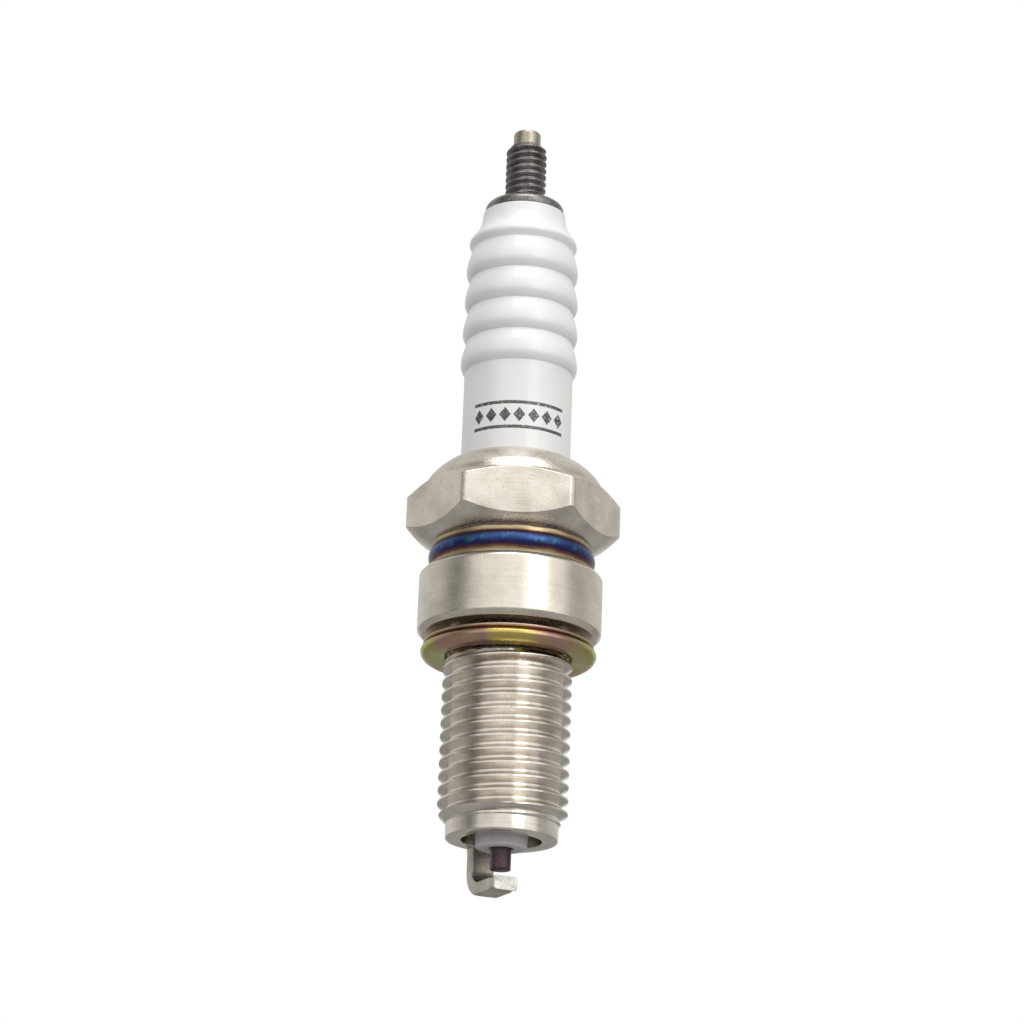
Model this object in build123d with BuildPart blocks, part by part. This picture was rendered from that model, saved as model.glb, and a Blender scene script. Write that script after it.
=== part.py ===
"""Spark plug, M12 x 1.25 thread, 19 mm reach, 18 mm hexagon, M4 terminal stud.

The plug stands upright: the terminal stud points up (+Z) and the electrodes point down.
The origin is on the axis, in the plane of the gasket seat (the underside of the collar).
Every piece is turned about the Z axis, so most are one profile drawn in the XZ plane,
with x as the radius and the second coordinate as the height, and revolved.
All sizes are in millimetres.
"""
from build123d import *

import math
import os

# ---------------------------------------------------------------- driving dimensions

# Direction, about the Z axis, in which the height of a thread groove is stated
groove_angle = -92.3

# How far a thread's cutter stands proud of the crest, as a share of the pitch
groove_overcut = 0.05

# Where a thread's helix starts, before the threaded piece is turned to its phase
seam_angle = 37

# Mounting thread and pilot, below the gasket seat
thread_major_r = 5.95
thread_pitch = 1.25
thread_depth = 0.767
thread_root_half_flat = 0.10
thread_groove_z = -6.07
thread_run_out = 0.45
reach = 19.0
pilot_undercut = 0.058
pilot_length = 1.45
pilot_chamfer = 0.15
neck_undercut = 0.033

# Insulator barrel and the bore in the shell round it
barrel_r = 5.12
packing_space = 1.48

# Collar and heat-shrunk waist, above the gasket seat
waist_wall = 0.85
waist_height = 2.6
waist_bulge = 0.27
waist_straight = 0.52
collar_step = 1.05
collar_height = 6.1
collar_chamfer = 0.45

# Hexagon, with its corners turned down, and the depth of the turning above and below
hex_across_flats = 17.5
hex_corner_cut = 0.134
hex_height = 5.4
hex_upper_drop = 0.9
hex_lower_drop = 1.65
hex_upper_arc_share = (0.53, 0.56)
hex_lower_arc_share = (0.52, 0.42)

# Crimped lip at the top of the shell
lip_ledge = 0.25
lip_height = 2.8
lip_opening_clearance = 0.1
lip_wall = 1.0
lip_inner_rise = 0.2
lip_end_round = 0.25
lip_arc_share = (0.65, 0.565)
lip_inner_arc_share = (0.8, 0.55)

# Bores inside the shell, below the barrel's
shell_middle_wall = 0.833
shell_end_wall = 1.475
bore_step_z = 2.2
inner_seat_z = -7.0
seat_slope = 0.8

# Insulator
insulator_clearance = 0.1
stage_clearance = 0.15
insulator_top_z = 42.2
insulator_top_wall = 1.95
insulator_top_round = 0.3
neck_length = 3.3
neck_arc_share = (0.34, 0.55)
neck_overhang = 0.21
neck_tuck = 0.6
shoulder_drop = 2.7
shoulder_slope = 0.37
stage_top_rise = 0.69
shoulder_rise = 2.02
nose_step = 0.25
nose_fillet_drop = 0.9
nose_tip_wall = 1.35
nose_taper = 0.65
nose_projection = 0.7
nose_tip_round = 0.35
rib_count = 5
rib_pitch = 3.15
rib_depth = 0.42
rib_taper = 0.26
rib_shape = ((0.32, 0.60), (0.62, 1.0), (0.86, 0.70))

# Packing between insulator and shell
seat_washer_thickness = 0.35
packing_side_gap = 0.08
packing_gap = 0.01
upper_ring_rise = 0.37

# Stepped bore through the insulator
stem_bore_r = 2.0
bore_ledge_z = -9.0
ledge_slope = 0.6

# Centre electrode and its copper core
electrode_r = 0.94
electrode_bore_gap = 0.06
electrode_projection = 1.95
electrode_tip_chamfer = 0.06
head_side_gap = 0.3
head_height = 1.5
jacket_wall = 0.44
copper_tip_cover = 2.6

# Terminal stud, and the glass seal that it stands in
stem_side_gap = 0.2
stem_above_ledge = 10.0
stem_chamfer = 0.15
stem_groove_count = 6
stem_groove_pitch = 0.9
stem_groove_depth = 0.2
glass_height_on_stem = 6.5
flange_setback = 0.2
flange_rim_height = 0.5
flange_height = 1.35
flange_neck_r = 2.2
flange_arc_share = (0.72, 0.66)
stud_major_r = 1.95
stud_pitch = 0.7
stud_depth = 0.43
stud_root_half_flat = 0.05
stud_groove_drop = 0.21
stud_run_out = 0.35
stud_neck_r = 1.48
stud_neck_length = 0.6
stud_thread_length = 5.3
stud_end_r = 1.42
stud_tip_step = 0.12
stud_tip_length = 1.4
stud_tip_chamfer = 0.15

# Ground electrode
strap_angle = 112.6
strap_setback = 0.145
strap_thickness = 1.28
strap_width = 2.3
strap_bend_r = 1.9
strap_edge_fillet = 0.18
strap_tip_reach = 1.2
spark_gap = 0.7

# Gasket, loose on the neck between the seat and the first thread
gasket_hold = 0.25
gasket_setback = 0.45
gasket_thickness = 1.7
gasket_seat_gap = 0.62
gasket_thread_gap = 0.05
gasket_rim_r = 0.5
gasket_inner_round = 0.35
gasket_step = 0.3

# ---------------------------------------------------------------- sizes that follow

thread_root_r = thread_major_r - thread_depth
pilot_r = thread_root_r - pilot_undercut
neck_r = thread_root_r - neck_undercut
shell_bore_r = barrel_r + packing_space
shell_middle_bore_r = thread_root_r - shell_middle_wall
shell_end_bore_r = pilot_r - shell_end_wall
waist_r = shell_bore_r + waist_wall
collar_r = waist_r + collar_step
hex_flat_r = hex_across_flats / 2
hex_corner_r = hex_flat_r / math.cos(math.radians(30)) - hex_corner_cut
hex_bottom_z = collar_height + waist_height
hex_top_z = hex_bottom_z + hex_height
lip_root_r = hex_flat_r - lip_ledge
lip_top_z = hex_top_z + lip_height
lip_opening_r = barrel_r + lip_opening_clearance
lip_inner_start_z = hex_top_z + lip_inner_rise
shell_end_z = -reach
pilot_top_z = shell_end_z + pilot_length
thread_bottom_z = pilot_top_z + (thread_major_r - pilot_r)

electrode_bore_r = electrode_r + electrode_bore_gap
electrode_head_r = stem_bore_r - head_side_gap
copper_core_r = electrode_r - jacket_wall
nose_end_z = shell_end_z - nose_projection
electrode_end_z = nose_end_z - electrode_projection
nose_tip_r = electrode_bore_r + nose_tip_wall
nose_root_r = nose_tip_r + nose_taper

insulator_top_r = stem_bore_r + insulator_top_wall
rib_top_base_r = barrel_r - rib_taper
neck_end_z = insulator_top_z - neck_length
rib_top_z = neck_end_z - neck_tuck
shoulder_r = shell_bore_r - insulator_clearance
shoulder_top_z = hex_top_z - shoulder_drop
stage_r = shell_middle_bore_r - stage_clearance
packing_wire_r = packing_space / 2 - packing_side_gap

stem_r = stem_bore_r - stem_side_gap
stem_bottom_z = bore_ledge_z + stem_above_ledge
glass_top_z = stem_bottom_z + glass_height_on_stem
flange_r = insulator_top_r - flange_setback
flange_top_z = insulator_top_z + flange_height
stud_thread_z = flange_top_z + stud_neck_length
stud_thread_top_z = stud_thread_z + stud_thread_length
stud_tip_r = stud_end_r - stud_tip_step
stud_top_z = stud_thread_top_z + stud_tip_length
stud_groove_z = stud_thread_top_z - stud_groove_drop

strap_top_z = electrode_end_z - spark_gap
strap_outer_r = pilot_r - strap_setback

gasket_inner_r = thread_major_r - gasket_hold
gasket_outer_r = collar_r - gasket_setback
gasket_top_z = -gasket_seat_gap
gasket_bottom_z = gasket_top_z - gasket_thickness
thread_top_z = gasket_bottom_z - gasket_thread_gap - gasket_hold
neck_bottom_z = thread_top_z + thread_major_r - neck_r


def helical_groove(major_r, pitch, depth, root_half_flat, bottom_z, top_z):
    """The space of a right-hand 60 degree thread's groove, as a solid to cut away.

    The groove's section is carried along a helix at the thread's root, from bottom_z to
    top_z. It opens past the crest by a share of the pitch, so that the cut breaks through.
    The helix starts in the direction seam_angle, away from the seam of the turned blank.
    """
    root_r = major_r - depth
    outer_r = major_r + pitch * groove_overcut
    outer_half = root_half_flat + (outer_r - root_r) * math.tan(math.radians(30))
    with BuildPart() as groove:
        with BuildLine() as helix:
            Helix(pitch=pitch, height=top_z - bottom_z, radius=root_r, center=(0, 0, bottom_z))
        with BuildSketch(Plane.XZ):
            with BuildLine():
                Polyline(
                    (root_r, bottom_z - root_half_flat),
                    (outer_r, bottom_z - outer_half),
                    (outer_r, bottom_z + outer_half),
                    (root_r, bottom_z + root_half_flat),
                    close=True,
                )
            make_face()
        sweep(path=helix.wires()[0], is_frenet=True)
    return groove.part.rotate(Axis.Z, seam_angle)


def turned_to_phase(threaded, pitch, bottom_z, groove_z):
    """The threaded piece turned until a groove that started at bottom_z is at groove_z in groove_angle."""
    return threaded.rotate(Axis.Z, groove_angle - seam_angle - 360 * (groove_z - bottom_z) / pitch)


def height_on_cone(r, apex_r, apex_z, slope):
    """Height of the cone that passes through (apex_r, apex_z) and climbs by slope."""
    return apex_z + slope * (r - apex_r)


def between(start, end, share):
    """The point whose radius and height lie at the two shares of the way from start to end."""
    return (start[0] + (end[0] - start[0]) * share[0], start[1] + (end[1] - start[1]) * share[1])


# ---------------------------------------------------------------- terminal stud

stud_groove_bottom_z = stud_thread_z - stud_run_out

with BuildPart() as stud_thread:
    # Threaded length, chamfered at both ends
    with BuildSketch(Plane.XZ):
        with BuildLine():
            Polyline(
                (0, stud_thread_z),
                (stud_neck_r, stud_thread_z),
                (stud_major_r, stud_thread_z + stud_major_r - stud_neck_r),
                (stud_major_r, stud_thread_top_z - stud_major_r + stud_end_r),
                (stud_end_r, stud_thread_top_z),
                (0, stud_thread_top_z),
                close=True,
            )
        make_face()
    revolve(axis=Axis.Z)
    add(
        helical_groove(
            stud_major_r,
            stud_pitch,
            stud_depth,
            stud_root_half_flat,
            stud_groove_bottom_z,
            stud_thread_top_z + stud_run_out,
        ),
        mode=Mode.SUBTRACT,
    )

with BuildPart() as terminal_stud:
    add(turned_to_phase(stud_thread.part, stud_pitch, stud_groove_bottom_z, stud_groove_z))

    # Stem, flange and plain tip
    flange_rim = (flange_r, insulator_top_z + flange_rim_height)
    flange_neck = (flange_neck_r, flange_top_z)
    with BuildSketch(Plane.XZ):
        with BuildLine():
            Polyline(
                (0, stem_bottom_z),
                (stem_r - stem_chamfer, stem_bottom_z),
                (stem_r, stem_bottom_z + stem_chamfer),
                (stem_r, insulator_top_z),
                (flange_r, insulator_top_z),
                flange_rim,
            )
            ThreePointArc(flange_rim, between(flange_neck, flange_rim, flange_arc_share), flange_neck)
            Polyline(
                flange_neck,
                (stud_neck_r, stud_thread_z),
                (stud_tip_r, stud_thread_z),
                (stud_tip_r, stud_top_z - stud_tip_chamfer),
                (stud_tip_r - stud_tip_chamfer, stud_top_z),
                (0, stud_top_z),
                (0, stem_bottom_z),
            )
        make_face()
    revolve(axis=Axis.Z)
    for i in range(stem_groove_count):
        ring_z = stem_bottom_z + (i + 1) * stem_groove_pitch
        with BuildSketch(Plane.XZ):
            with BuildLine():
                Polyline(
                    (stem_r - stem_groove_depth, ring_z),
                    (stem_r + stem_groove_depth, ring_z - 2 * stem_groove_depth),
                    (stem_r + stem_groove_depth, ring_z + 2 * stem_groove_depth),
                    close=True,
                )
            make_face()
        revolve(axis=Axis.Z, mode=Mode.SUBTRACT)

# ---------------------------------------------------------------- shell

thread_groove_bottom_z = pilot_top_z - thread_run_out

with BuildPart() as threaded_barrel:
    # Collar, neck, thread and pilot, turned in one piece
    with BuildSketch(Plane.XZ):
        with BuildLine():
            Polyline(
                (shell_end_bore_r, collar_height),
                (collar_r - collar_chamfer, collar_height),
                (collar_r, collar_height - collar_chamfer),
                (collar_r, collar_chamfer),
                (collar_r - collar_chamfer, 0),
                (neck_r, 0),
                (neck_r, neck_bottom_z),
                (thread_major_r, thread_top_z),
                (thread_major_r, thread_bottom_z),
                (pilot_r, pilot_top_z),
                (pilot_r, shell_end_z + pilot_chamfer),
                (pilot_r - pilot_chamfer, shell_end_z),
                (shell_end_bore_r, shell_end_z),
                close=True,
            )
        make_face()
    revolve(axis=Axis.Z)
    add(
        helical_groove(
            thread_major_r,
            thread_pitch,
            thread_depth,
            thread_root_half_flat,
            thread_groove_bottom_z,
            neck_bottom_z + thread_run_out,
        ),
        mode=Mode.SUBTRACT,
    )

with BuildPart() as shell:
    # Hexagon, rounded above and below where the turned cone cuts its corners
    with BuildSketch(Plane.XY.offset(hex_bottom_z)):
        RegularPolygon(radius=hex_flat_r, side_count=6, major_radius=False)
    extrude(amount=hex_height)
    hex_foot = (waist_r, hex_bottom_z)
    hex_low_corner = (hex_corner_r, hex_bottom_z + hex_lower_drop)
    hex_high_corner = (hex_corner_r, hex_top_z - hex_upper_drop)
    lip_root = (lip_root_r, hex_top_z)
    with BuildSketch(Plane.XZ):
        with BuildLine():
            Line((0, hex_bottom_z), hex_foot)
            ThreePointArc(hex_foot, between(hex_foot, hex_low_corner, hex_lower_arc_share), hex_low_corner)
            Line(hex_low_corner, hex_high_corner)
            ThreePointArc(hex_high_corner, between(lip_root, hex_high_corner, hex_upper_arc_share), lip_root)
            Polyline(lip_root, (0, hex_top_z), (0, hex_bottom_z))
        make_face()
    revolve(axis=Axis.Z, mode=Mode.INTERSECT)

    # Crimped lip
    lip_end = (lip_opening_r + lip_end_round, lip_top_z)
    lip_middle = between((lip_opening_r, hex_top_z), (lip_root_r, lip_top_z), lip_arc_share)
    with BuildSketch(Plane.XZ):
        with BuildLine():
            Line((0, hex_top_z), lip_root)
            ThreePointArc(lip_root, lip_middle, lip_end)
            Polyline(
                lip_end,
                (lip_opening_r, lip_top_z - lip_end_round),
                (0, lip_top_z - lip_end_round),
                (0, hex_top_z),
            )
        make_face()
    revolve(axis=Axis.Z)

    # Heat-shrunk waist, which bulges a little between collar and hexagon
    with BuildSketch(Plane.XZ):
        with BuildLine():
            Polyline(
                (waist_r, hex_bottom_z),
                (0, hex_bottom_z),
                (0, collar_height),
                (waist_r, collar_height),
                (waist_r, collar_height + waist_straight),
            )
            ThreePointArc(
                (waist_r, collar_height + waist_straight),
                (waist_r + waist_bulge, collar_height + waist_height / 2),
                (waist_r, hex_bottom_z - waist_straight),
            )
            Line((waist_r, hex_bottom_z - waist_straight), (waist_r, hex_bottom_z))
        make_face()
    revolve(axis=Axis.Z)

    # Collar, neck, mounting thread and pilot
    add(turned_to_phase(threaded_barrel.part, thread_pitch, thread_groove_bottom_z, thread_groove_z))

    # Stepped bore, with the conical inner seat and the inside of the lip
    lip_inner_top = (lip_opening_r, lip_top_z - lip_wall)
    lip_inner_start = (shell_bore_r, lip_inner_start_z)
    lip_inner_middle = between(
        (lip_opening_r, lip_inner_start_z),
        (shell_bore_r, lip_top_z - lip_wall),
        lip_inner_arc_share,
    )
    with BuildSketch(Plane.XZ):
        with BuildLine():
            Polyline((0, lip_top_z), (lip_opening_r, lip_top_z), lip_inner_top)
            ThreePointArc(lip_inner_top, lip_inner_middle, lip_inner_start)
            Polyline(
                lip_inner_start,
                (shell_bore_r, bore_step_z + (shell_bore_r - shell_middle_bore_r) * seat_slope),
                (shell_middle_bore_r, bore_step_z),
                (
                    shell_middle_bore_r,
                    height_on_cone(shell_middle_bore_r, shell_end_bore_r, inner_seat_z, seat_slope),
                ),
                (shell_end_bore_r, inner_seat_z),
                (shell_end_bore_r, shell_end_z),
                (0, shell_end_z),
                (0, lip_top_z),
            )
        make_face()
    revolve(axis=Axis.Z, mode=Mode.SUBTRACT)

# ---------------------------------------------------------------- insulator

washer_z = inner_seat_z + seat_washer_thickness
nose_start_r = shell_end_bore_r - nose_step
nose_start_z = height_on_cone(nose_start_r, shell_end_bore_r, washer_z, seat_slope)
stage_bottom_z = height_on_cone(stage_r, shell_end_bore_r, washer_z, seat_slope)
stage_top_z = bore_step_z + stage_top_rise
shoulder_bottom_z = stage_top_z + shoulder_rise
shoulder_inner_z = shoulder_top_z + (shoulder_r - barrel_r) * shoulder_slope

neck_start = (insulator_top_r, insulator_top_z - insulator_top_round)
neck_end = (rib_top_base_r + neck_overhang, neck_end_z)

with BuildPart() as insulator:
    with BuildSketch(Plane.XZ):
        with BuildLine():
            # Top rim, then the curved neck above the first rib
            RadiusArc(
                (insulator_top_r - insulator_top_round, insulator_top_z),
                (insulator_top_r, insulator_top_z - insulator_top_round),
                insulator_top_round,
            )
            ThreePointArc(neck_start, between(neck_start, neck_end, neck_arc_share), neck_end)
            Line(neck_end, (rib_top_base_r, rib_top_z))
            # Ribs: each swells slowly downwards and tucks in sharply at its underside
            for i in range(rib_count - 1):
                upper_r = rib_top_base_r + rib_taper * i / (rib_count - 1)
                lower_r = rib_top_base_r + rib_taper * (i + 1) / (rib_count - 1)
                start_z = rib_top_z - i * rib_pitch
                belly = [
                    (upper_r + (lower_r - upper_r) * fall + rib_depth * swell, start_z - rib_pitch * fall)
                    for fall, swell in rib_shape
                ]
                Spline((upper_r, start_z), *belly, (lower_r, start_z - rib_pitch))
            Polyline(
                (barrel_r, rib_top_z - (rib_count - 1) * rib_pitch),
                (barrel_r, shoulder_inner_z),
                (shoulder_r, shoulder_top_z),
                (shoulder_r, shoulder_bottom_z),
                (stage_r, stage_top_z),
                (stage_r, stage_bottom_z),
                (nose_start_r, nose_start_z),
                (nose_root_r, nose_start_z - nose_fillet_drop),
                (nose_tip_r, nose_end_z + nose_tip_round),
            )
            RadiusArc(
                (nose_tip_r, nose_end_z + nose_tip_round),
                (nose_tip_r - nose_tip_round, nose_end_z),
                nose_tip_round,
            )
            Polyline(
                (nose_tip_r - nose_tip_round, nose_end_z),
                (electrode_bore_r, nose_end_z),
                (electrode_bore_r, bore_ledge_z - (stem_bore_r - electrode_bore_r) * ledge_slope),
                (stem_bore_r, bore_ledge_z),
                (stem_bore_r, insulator_top_z),
                (insulator_top_r - insulator_top_round, insulator_top_z),
            )
        make_face()
    revolve(axis=Axis.Z)

# ---------------------------------------------------------------- packing

washer_inner_r = shell_end_bore_r
washer_outer_r = stage_r

with BuildPart() as inner_seat_washer:
    with BuildSketch(Plane.XZ):
        with BuildLine():
            inner_z = height_on_cone(washer_inner_r, shell_end_bore_r, inner_seat_z, seat_slope)
            outer_z = height_on_cone(washer_outer_r, shell_end_bore_r, inner_seat_z, seat_slope)
            Polyline(
                (washer_inner_r, inner_z),
                (washer_outer_r, outer_z),
                (washer_outer_r, outer_z + seat_washer_thickness),
                (washer_inner_r, inner_z + seat_washer_thickness),
                close=True,
            )
        make_face()
    revolve(axis=Axis.Z)

ring_r = (barrel_r + shell_bore_r) / 2
shoulder_at_ring = shoulder_top_z + (shoulder_r - ring_r) * shoulder_slope
lower_ring_z = shoulder_at_ring + packing_gap + packing_wire_r * math.hypot(1, shoulder_slope)
upper_ring_z = hex_top_z + upper_ring_rise

with BuildPart() as lower_packing_ring:
    with BuildSketch(Plane.XZ):
        with Locations((ring_r, lower_ring_z)):
            Circle(packing_wire_r)
    revolve(axis=Axis.Z)

with BuildPart() as upper_packing_ring:
    with BuildSketch(Plane.XZ):
        with Locations((ring_r, upper_ring_z)):
            Circle(packing_wire_r)
    revolve(axis=Axis.Z)

with BuildPart() as talc_packing:
    with BuildSketch(Plane.XZ):
        with BuildLine():
            Polyline(
                (barrel_r, shoulder_inner_z),
                (shell_bore_r, shoulder_top_z - (shell_bore_r - shoulder_r) * shoulder_slope),
                (shell_bore_r, lip_inner_start_z),
                (barrel_r, lip_inner_start_z),
                close=True,
            )
        make_face()
    revolve(axis=Axis.Z)
    add(lower_packing_ring.part, mode=Mode.SUBTRACT)
    add(upper_packing_ring.part, mode=Mode.SUBTRACT)

# ---------------------------------------------------------------- centre electrode

head_bottom_z = bore_ledge_z - (stem_bore_r - electrode_r) * ledge_slope
head_rim_z = bore_ledge_z - (stem_bore_r - electrode_head_r) * ledge_slope
head_top_z = head_rim_z + head_height
core_bottom_z = electrode_end_z + copper_tip_cover

with BuildPart() as centre_electrode:
    with BuildSketch(Plane.XZ):
        with BuildLine():
            Polyline(
                (0, electrode_end_z),
                (electrode_r - electrode_tip_chamfer, electrode_end_z),
                (electrode_r, electrode_end_z + electrode_tip_chamfer),
                (electrode_r, head_bottom_z),
                (electrode_head_r, head_rim_z),
                (electrode_head_r, head_top_z),
                (copper_core_r, head_top_z),
                (copper_core_r, core_bottom_z),
                (0, core_bottom_z - copper_core_r),
                close=True,
            )
        make_face()
    revolve(axis=Axis.Z)

with BuildPart() as copper_core:
    with BuildSketch(Plane.XZ):
        with BuildLine():
            Polyline(
                (0, core_bottom_z - copper_core_r),
                (copper_core_r, core_bottom_z),
                (copper_core_r, head_top_z),
                (0, head_top_z),
                close=True,
            )
        make_face()
    revolve(axis=Axis.Z)

# ---------------------------------------------------------------- glass seal

with BuildPart() as glass_seal:
    with BuildSketch(Plane.XZ):
        with BuildLine():
            Polyline(
                (0, head_top_z),
                (electrode_head_r, head_top_z),
                (electrode_head_r, head_rim_z),
                (stem_bore_r, bore_ledge_z),
                (stem_bore_r, glass_top_z),
                (0, glass_top_z),
                close=True,
            )
        make_face()
    revolve(axis=Axis.Z)
    add(terminal_stud.part, mode=Mode.SUBTRACT)

# ---------------------------------------------------------------- ground electrode

strap_middle_r = strap_outer_r - strap_thickness / 2
strap_run_z = strap_top_z - strap_thickness / 2
weld_plane = Plane.XZ.rotated((0, 0, strap_angle))

with BuildPart() as ground_electrode:
    with BuildLine(weld_plane) as strap_path:
        Line((strap_middle_r, shell_end_z), (strap_middle_r, strap_run_z + strap_bend_r))
        RadiusArc(
            (strap_middle_r, strap_run_z + strap_bend_r),
            (strap_middle_r - strap_bend_r, strap_run_z),
            strap_bend_r,
        )
        Line((strap_middle_r - strap_bend_r, strap_run_z), (-strap_tip_reach, strap_run_z))
    with BuildSketch(Plane.XY.offset(shell_end_z).rotated((0, 0, strap_angle))):
        with Locations((strap_middle_r, 0)):
            RectangleRounded(strap_thickness, strap_width, strap_edge_fillet)
    sweep(path=strap_path.wires()[0])

# ---------------------------------------------------------------- gasket

gasket_middle_z = (gasket_top_z + gasket_bottom_z) / 2
gasket_upper_r = gasket_outer_r - gasket_step

with BuildPart() as gasket:
    with BuildSketch(Plane.XZ):
        with BuildLine():
            Polyline(
                (gasket_inner_r + gasket_inner_round, gasket_bottom_z),
                (gasket_outer_r - gasket_rim_r, gasket_bottom_z),
            )
            RadiusArc(
                (gasket_outer_r - gasket_rim_r, gasket_bottom_z),
                (gasket_outer_r, gasket_bottom_z + gasket_rim_r),
                -gasket_rim_r,
            )
            Polyline(
                (gasket_outer_r, gasket_bottom_z + gasket_rim_r),
                (gasket_outer_r, gasket_middle_z),
                (gasket_upper_r, gasket_middle_z + gasket_step),
                (gasket_upper_r, gasket_top_z),
                (gasket_inner_r + gasket_inner_round, gasket_top_z),
                (gasket_inner_r, gasket_top_z - gasket_inner_round),
                (gasket_inner_r, gasket_bottom_z + gasket_inner_round),
                (gasket_inner_r + gasket_inner_round, gasket_bottom_z),
            )
        make_face()
    revolve(axis=Axis.Z)

# ---------------------------------------------------------------- files

terminal_stud.part.label = "terminal_stud"
shell.part.label = "shell"
insulator.part.label = "insulator"
inner_seat_washer.part.label = "inner_seat_washer"
lower_packing_ring.part.label = "lower_packing_ring"
upper_packing_ring.part.label = "upper_packing_ring"
talc_packing.part.label = "talc_packing"
centre_electrode.part.label = "centre_electrode"
copper_core.part.label = "copper_core"
glass_seal.part.label = "glass_seal"
ground_electrode.part.label = "ground_electrode"
gasket.part.label = "gasket"

os.makedirs("parts", exist_ok=True)
for piece in (
    terminal_stud,
    shell,
    insulator,
    inner_seat_washer,
    lower_packing_ring,
    upper_packing_ring,
    talc_packing,
    centre_electrode,
    copper_core,
    glass_seal,
    ground_electrode,
    gasket,
):
    export_step(piece.part, f"parts/{piece.part.label}.step")
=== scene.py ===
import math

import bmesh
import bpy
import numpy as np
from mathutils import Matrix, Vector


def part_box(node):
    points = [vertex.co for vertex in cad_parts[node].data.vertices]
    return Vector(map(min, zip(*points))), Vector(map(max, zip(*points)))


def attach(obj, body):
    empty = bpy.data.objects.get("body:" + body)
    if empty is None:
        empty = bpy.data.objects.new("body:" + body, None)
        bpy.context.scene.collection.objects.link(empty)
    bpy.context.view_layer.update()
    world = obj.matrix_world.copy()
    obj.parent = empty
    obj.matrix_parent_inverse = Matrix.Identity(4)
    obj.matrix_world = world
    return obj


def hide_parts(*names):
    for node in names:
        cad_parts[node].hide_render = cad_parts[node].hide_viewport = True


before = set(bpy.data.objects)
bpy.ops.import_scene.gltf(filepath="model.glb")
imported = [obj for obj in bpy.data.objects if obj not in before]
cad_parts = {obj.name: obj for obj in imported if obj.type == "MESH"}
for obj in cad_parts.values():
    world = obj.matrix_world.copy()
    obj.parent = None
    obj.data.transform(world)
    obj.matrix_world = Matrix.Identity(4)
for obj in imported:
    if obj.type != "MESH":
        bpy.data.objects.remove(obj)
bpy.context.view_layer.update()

# %% [markdown]
# # A spark plug in cells
# A spark plug is a stack of turned pieces on one axis: a plated steel shell, a glazed ceramic
# insulator through its middle, and a steel stud and an electrode in the insulator's bore.
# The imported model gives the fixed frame. Each piece that shows is made again here as a smooth
# surface, and the pieces sealed inside keep their CAD mesh and only get a finish.
# All lengths below are metres, so sizes a maker would give in millimetres are multiplied by MM.

MM = 0.001

# %% [markdown]
# ## A skin over a grid of points
# Every new piece is a grid: rows follow the profile, columns go round it. Blender could spin a
# profile with its Screw modifier, but a grid worked out as arrays also takes helical rows and
# hexagon flats. Points that fall together at a seam, a pole or the end of a helix are merged,
# so that each piece is one closed skin.

# %% The grid skin
MERGE = 2e-7
SHARP = math.radians(33)


def skin(name, radius, height, angle, closed_profile=True):
    """A closed mesh from polar grids: x = radius cos(angle), y = radius sin(angle), z = height."""
    points = np.stack([radius * np.cos(angle), radius * np.sin(angle), height + 0 * angle], axis=-1)
    return skin_of_points(name, points, closed_profile)


def skin_of_points(name, points, closed_profile):
    """A closed mesh from a grid of points (rows, columns, 3), with its faces turned outwards."""
    rows, columns = points.shape[:2]
    index = np.arange(rows * columns).reshape(rows, columns)
    if closed_profile:
        index = np.vstack([index, index[:1]])
    quads = np.stack([index[:-1, :-1], index[:-1, 1:], index[1:, 1:], index[1:, :-1]], axis=-1).reshape(-1, 4)
    mesh = bpy.data.meshes.new(name)
    mesh.vertices.add(rows * columns)
    mesh.vertices.foreach_set("co", points.astype(np.float32).ravel())
    mesh.loops.add(quads.size)
    mesh.loops.foreach_set("vertex_index", quads.ravel().astype(np.int32))
    mesh.polygons.add(len(quads))
    mesh.polygons.foreach_set("loop_start", np.arange(0, quads.size, 4, dtype=np.int32))
    mesh.update(calc_edges=True)
    work = bmesh.new()
    work.from_mesh(mesh)
    bmesh.ops.remove_doubles(work, verts=work.verts, dist=MERGE)
    bmesh.ops.dissolve_degenerate(work, edges=work.edges, dist=MERGE)
    if work.calc_volume(signed=True) < 0:
        bmesh.ops.reverse_faces(work, faces=work.faces)
    open_edges = sum(not edge.is_manifold for edge in work.edges)
    work.to_mesh(mesh)
    work.free()
    mesh.shade_smooth()
    mesh.set_sharp_from_angle(angle=SHARP)
    piece = bpy.data.objects.new(name, mesh)
    bpy.context.scene.collection.objects.link(piece)
    print(name, "has", len(mesh.polygons), "faces and", open_edges, "open edges")
    return piece


def full_turn(columns):
    """Angles from 0 to a full turn, both ends included, so that the seam can be merged."""
    return np.linspace(0, 2 * math.pi, columns + 1)


# %% [markdown]
# ## Rounded corners
# A turned or plated edge is never perfectly sharp, and it is the narrow rounding that catches
# the light. A Bevel modifier would do it after the fact. Here each corner of a profile is
# replaced by a short curve while the profile is still a handful of points.

# %% Corner rounding
def rounded(points, reach, steps=4):
    """Each inner corner C becomes the quadratic curve (1-t)^2 A + 2t(1-t) C + t^2 B.

    A and B lie at the distance reach from C along its two sides, or at 0.45 of a shorter side.
    points has the shape (corners, ..., 2), so a whole ring of profiles is rounded at once.
    """
    corner = points[1:-1]

    def along(side):
        length = np.linalg.norm(side, axis=-1, keepdims=True)
        return corner + side / np.maximum(length, MERGE) * np.minimum(reach, 0.45 * length)

    t = np.linspace(0, 1, steps).reshape(-1, *[1] * points.ndim)
    start, end = along(points[:-2] - corner), along(points[2:] - corner)
    curve = (1 - t) ** 2 * start + 2 * t * (1 - t) * corner + t**2 * end
    curve = np.moveaxis(curve, 0, 1).reshape(-1, *points.shape[1:])
    return np.concatenate([points[:1], curve, points[-1:]])


def profile(*pairs):
    """Millimetre pairs (radius, height) as an array in metres."""
    return np.array(pairs, float) * MM


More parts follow.
